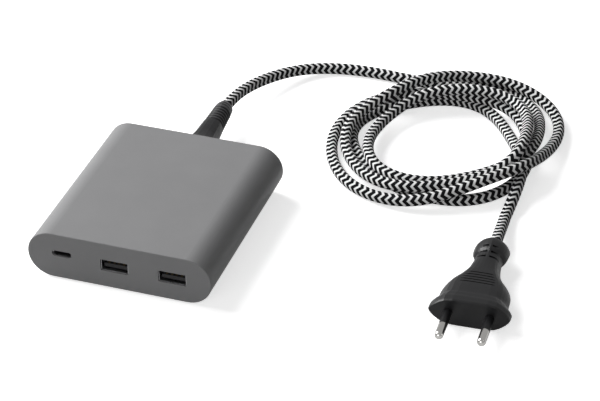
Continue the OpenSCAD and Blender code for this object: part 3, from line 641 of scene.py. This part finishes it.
def metal(name, colour, roughness, stretch, depth):
    """A metal with fine marks stretched along one axis."""
    material, tree, shader = new_material(name, colour, roughness, metallic=1.0)
    mapping = add_node(tree, "ShaderNodeMapping", Scale=stretch)
    tree.links.new(object_coords(tree), mapping.inputs["Vector"])
    marks = noise(tree, MARK_SCALE, 3.0, mapping.outputs["Vector"])
    gloss = ramp(tree, marks, NOISE_LOW, NOISE_HIGH, grey(roughness * POLISHED),
                 grey(min(1.0, roughness * DULLED)))
    tree.links.new(gloss, shader.inputs["Roughness"])
    add_bump(tree, shader, marks, depth, MARK_BUMP)
    return material


pins = metal("nickel_plate", (0.6, 0.59, 0.57), 0.14, (1.0, 0.2, 1.0), 0.00001)
finish_with(pins, "plug_pin_left", "plug_pin_right")
shells = metal("socket_steel", (0.42, 0.42, 0.43), 0.3, (0.2, 1.0, 1.0), 0.00001)
finish_with(shells, "usb_c_shell", "usb_a_left_shell", "usb_a_right_shell")
# The contacts' gold is far darker than gold is: painted shade, as they lie deep in the sockets
contacts = metal("gold_plate_painted_shade", (0.14, 0.1, 0.05), 0.6, (1.0, 0.2, 1.0), 0.00001)
finish_with(contacts, "usb_a_left_contacts", "usb_a_right_contacts")
sheet = metal("aluminium_sheet", (0.75, 0.75, 0.76), 0.42, (0.1, 1.0, 1.0), 0.00002)
finish_with(sheet, "heat_spreader", "heat_sink")
cans = metal("can_aluminium", (0.62, 0.63, 0.66), 0.35, (1.0, 1.0, 0.15), 0.00002)
finish_with(cans, "output_capacitors")
copper = metal("enamelled_copper", (0.66, 0.3, 0.1), 0.3, (1.0, 1.0, 0.1), 0.00008)
finish_with(copper, "choke_windings")
print("metals finished")

# %% [markdown]
# The pieces inside are hidden by the housing, but they get real finishes too, because the
# model can be taken apart. Most are plain moulded or dipped plastics that differ in colour,
# gloss and grain, so one helper makes them all. The sockets' black tongues, which do show, are
# such a plastic as well. Each row of the table is a finish: its colour, roughness, grain, depth
# of the grain, and its nodes.

# %% Plastics, card and ceramics
DARKER = 0.88
LIGHTER = 1.1
MOTTLE_TO_GRAIN = 8


def grained(name, colour, roughness, grain, depth):
    """A plastic, card or ceramic with a mottled tone and a grain of its own."""
    material, tree, shader = new_material(name, colour, roughness)
    dark = tuple(c * DARKER for c in colour)
    light = tuple(min(1.0, c * LIGHTER) for c in colour)
    tone = mottle(tree, grain / MOTTLE_TO_GRAIN, 2.0, dark, light)
    tree.links.new(tone, shader.inputs["Base Color"])
    add_bump(tree, shader, noise(tree, grain, 3.0), depth, 0.5)
    return material


PLASTICS = {
    "card": ((0.78, 0.72, 0.54), 0.8, 900.0, 0.00004, ["insulation_sheet"]),
    "pad": ((0.36, 0.42, 0.5), 0.7, 700.0, 0.00005, ["thermal_pad"]),
    "ferrite": ((0.045, 0.045, 0.05), 0.65, 1800.0, 0.00004, ["transformer_core", "choke_core"]),
    "tan_plastic": ((0.42, 0.3, 0.14), 0.5, 1200.0, 0.00003, ["transformer_bobbin"]),
    "blue_sleeve": ((0.02, 0.04, 0.16), 0.25, 900.0, 0.00002, ["bulk_capacitors"]),
    "yellow_case": ((0.62, 0.42, 0.06), 0.4, 1100.0, 0.00003, ["filter_capacitor"]),
    "blue_dip": ((0.02, 0.09, 0.32), 0.3, 500.0, 0.00006, ["varistor"]),
    "white_plastic": ((0.72, 0.72, 0.68), 0.45, 1300.0, 0.00003, ["mains_terminal"]),
    "ceramic": ((0.74, 0.7, 0.62), 0.35, 1500.0, 0.00002, ["fuse"]),
    "chip_black": ((0.02, 0.02, 0.022), 0.55, 2200.0, 0.00003,
                   ["bridge_rectifier", "power_transistor", "control_chips", "usb_c_stand"]),
    "insulator_black": ((0.01, 0.01, 0.011), 0.6, 2000.0, 0.00002,
                        ["usb_a_left_tongue", "usb_a_right_tongue", "usb_c_tongue"]),
    "wire_skin": ((0.2, 0.08, 0.03), 0.35, 900.0, 0.00003, ["mains_wires"]),
}
for label, (*look, names) in PLASTICS.items():
    finish_with(grained(label, *look), *names)
print("plastics finished:", len(PLASTICS))

# %% [markdown]
# Two finishes have a pattern. The boards' green lacquer shows copper tracks as slightly lighter
# lines, made from cells of a Voronoi pattern. The transformer's tape is wound in turns, so
# thin seams run across it.

# %% Boards and tape
TRACK_WIDTH = 0.06
TRACK_EDGE = 0.03
SEAM_WIDTH = 0.02
SEAM_EDGE = 0.08
board, tree, shader = new_material("green_lacquer", (0.02, 0.12, 0.05), 0.35)
cells = add_node(tree, "ShaderNodeTexVoronoi", feature="DISTANCE_TO_EDGE", Scale=260.0)
tree.links.new(object_coords(tree), cells.inputs["Vector"])
tracks = ramp(tree, cells.outputs["Distance"], TRACK_WIDTH, TRACK_WIDTH + TRACK_EDGE,
              (0.04, 0.2, 0.08), (0.02, 0.11, 0.045))
tree.links.new(tracks, shader.inputs["Base Color"])
add_bump(tree, shader, cells.outputs["Distance"], 0.00005, 0.3)
finish_with(board, "main_board", "usb_c_board")

tape, tree, shader = new_material("yellow_tape", (0.72, 0.5, 0.06), 0.25)
wave = add_node(tree, "ShaderNodeTexWave", bands_direction="Z", Scale=60.0, Distortion=0.4)
tree.links.new(object_coords(tree), wave.inputs["Vector"])
seams = ramp(tree, wave.outputs["Fac"], SEAM_WIDTH, SEAM_WIDTH + SEAM_EDGE,
             (0.5, 0.32, 0.03), (0.74, 0.52, 0.07))
tree.links.new(seams, shader.inputs["Base Color"])
add_bump(tree, shader, wave.outputs["Fac"], 0.00004, 0.4)
finish_with(tape, "transformer_winding")
print("boards and tape finished")

# %% [markdown]
# The photograph shows white all round, with hardly a shadow, and a dark right side on the
# housing, so little light came back from below. The Light Path node gives both: to the camera
# the table and the backdrop are white, mirrors see them at a bit under half of that, and the
# light that the table throws back is that of a grey one. The table still takes the object's
# shadow.

# %% Table
TABLE_SIZE = 6
TABLE_TONE = 0.3
TABLE_WHITE = 0.86
GLOW = 0.66
MIRRORED = 0.45


def seen_directly(tree):
    """One for rays that show the background, zero for rays that light the object."""
    path = tree.nodes.new("ShaderNodeLightPath")
    gloss = math_node(tree, "MULTIPLY", path.outputs["Is Glossy Ray"], MIRRORED)
    mirrored = math_node(tree, "MAXIMUM", gloss, path.outputs["Is Transmission Ray"])
    return math_node(tree, "MAXIMUM", path.outputs["Is Camera Ray"], mirrored)


bm = bmesh.new()
bmesh.ops.create_grid(bm, x_segments=1, y_segments=1, size=TABLE_SIZE)
floor_mesh = bpy.data.meshes.new("table")
bm.to_mesh(floor_mesh)
bm.free()
floor = bpy.data.objects.new("table", floor_mesh)
bpy.context.scene.collection.objects.link(floor)
table, tree, shader = new_material("white_table", grey(TABLE_TONE), 0.8, specular=0.1)
seen = seen_directly(tree)
tone = ramp(tree, seen, 0.0, 1.0, grey(TABLE_TONE), grey(TABLE_WHITE))
tree.links.new(tone, shader.inputs["Base Color"])
shader.inputs["Emission Color"].default_value = WHITE
tree.links.new(math_node(tree, "MULTIPLY", seen, GLOW), shader.inputs["Emission Strength"])
floor.data.materials.append(table)
print("table ready")

# %% [markdown]
# The backdrop is the world itself. It shows as white in the same way, and fills the shadows with
# a tenth of that.

# %% Backdrop
FILL = 0.1
world = bpy.data.worlds.new("studio")
bpy.context.scene.world = world
world.use_nodes = True
tree = world.node_tree
surround = tree.nodes["Background"]
surround.inputs["Color"].default_value = WHITE
shown = math_node(tree, "MULTIPLY", seen_directly(tree), 1 - FILL)
tree.links.new(math_node(tree, "ADD", shown, FILL), surround.inputs["Strength"])
print("backdrop ready")

# %% [markdown]
# The main light is a wide soft lamp high on the left. It makes the top the lightest face and
# puts a bright edge on the left round side. A weaker lamp from the front lights the sockets'
# face. A small weak one on the right gives the plug and the right round side a little shape, and
# that side stays dark.

# %% Lights
AIM = Vector((0.05, 0.05, 0))
LAMPS = {
    "left_lamp": ((-1.1, 0.35, 0.95), 1.1, 35),
    "front_lamp": ((-0.15, -1.5, 0.6), 0.9, 8),
    "right_lamp": ((1.3, 0.1, 0.55), 0.12, 0.5),
}
for name, (place, size, watts) in LAMPS.items():
    lamp_data = bpy.data.lights.new(name, "AREA")
    lamp_data.size = size
    lamp_data.energy = watts
    lamp = bpy.data.objects.new(name, lamp_data)
    bpy.context.scene.collection.objects.link(lamp)
    facing = (Vector(place) - AIM).to_track_quat("Z", "Y")
    lamp.matrix_world = Matrix.Translation(Vector(place)) @ facing.to_matrix().to_4x4()
print("lamps ready:", len(LAMPS))
